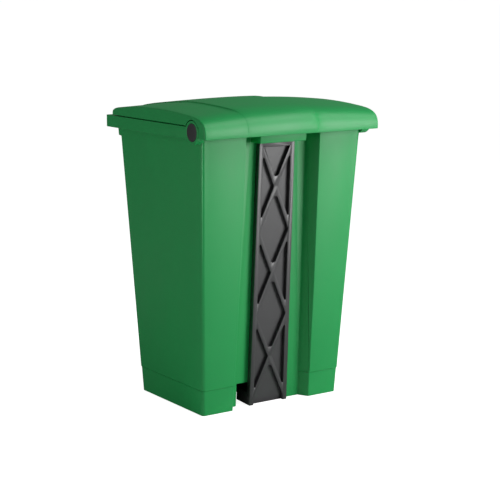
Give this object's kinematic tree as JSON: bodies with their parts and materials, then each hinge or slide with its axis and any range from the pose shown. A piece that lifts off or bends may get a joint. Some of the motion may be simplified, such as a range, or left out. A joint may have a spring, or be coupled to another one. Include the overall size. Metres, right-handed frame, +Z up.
{
  "type": "step-on trash can",
  "caption": "Tapered step-on trash can with a hinged lid, front pedal and a braced lift plate sliding in a rear channel.",
  "frame": {"origin": "on the floor, under the middle of the object's box", "axes": "+Z up, pedal at the front on -Y, lid hinge and lift plate at the rear on +Y, +X to the right of someone facing the rear wall from the pedal side"},
  "size_m": [0.4072, 0.4028, 0.612],
  "materials": {
    "green_plastic": "moulded, fine satin grain",
    "black_plastic": "moulded, matt",
    "black_rubber": "moulded, dull",
    "steel": "drawn, zinc plated",
    "nylon": "moulded, natural"
  },
  "bodies": {
    "container_body": {"container": "green_plastic", "hinge_pin_left": "steel", "hinge_pin_right": "steel", "hinge_cap_left": "black_plastic", "hinge_cap_right": "black_plastic", "pedal_axle": "steel", "axle_retainer_left": "black_plastic", "axle_retainer_right": "black_plastic", "axle_clip_left": "steel", "axle_clip_right": "steel", "retainer_screw_1": "steel", "retainer_screw_2": "steel", "retainer_screw_3": "steel", "retainer_screw_4": "steel", "foot_pad_1": "black_rubber", "foot_pad_2": "black_rubber", "foot_pad_3": "black_rubber", "foot_pad_4": "black_rubber"},
    "lid_body": {"lid": "green_plastic", "hinge_bushing_left": "nylon", "hinge_bushing_right": "nylon", "lid_bumper_1": "black_rubber", "lid_bumper_2": "black_rubber"},
    "plate_body": {"lift_plate": "black_plastic"},
    "pedal_body": {"pedal_lever": "black_plastic", "pedal_tread": "black_rubber"}
  },
  "joints": [
    {"name": "lid_hinge", "type": "hinge", "parent": "container_body", "child": "lid_body", "pos_m": [0, 0.1537, 0.5615], "axis": [-1, 0, 0], "range_deg": [0, 60]},
    {"name": "plate_slide", "type": "slide", "parent": "container_body", "child": "plate_body", "axis": [0, 0.056, 0.9984], "range_m": [0, 0.0185]},
    {"name": "pedal_hinge", "type": "hinge", "parent": "container_body", "child": "pedal_body", "pos_m": [0, -0.0104, 0.027], "axis": [1, 0, 0], "range_deg": [0, 10.1]}
  ],
  "couplings": [
    {"joint": "plate_slide", "follows": "lid_hinge", "m_per_rad": 0.0176},
    {"joint": "pedal_hinge", "follows": "lid_hinge", "ratio": 0.16784}
  ]
}
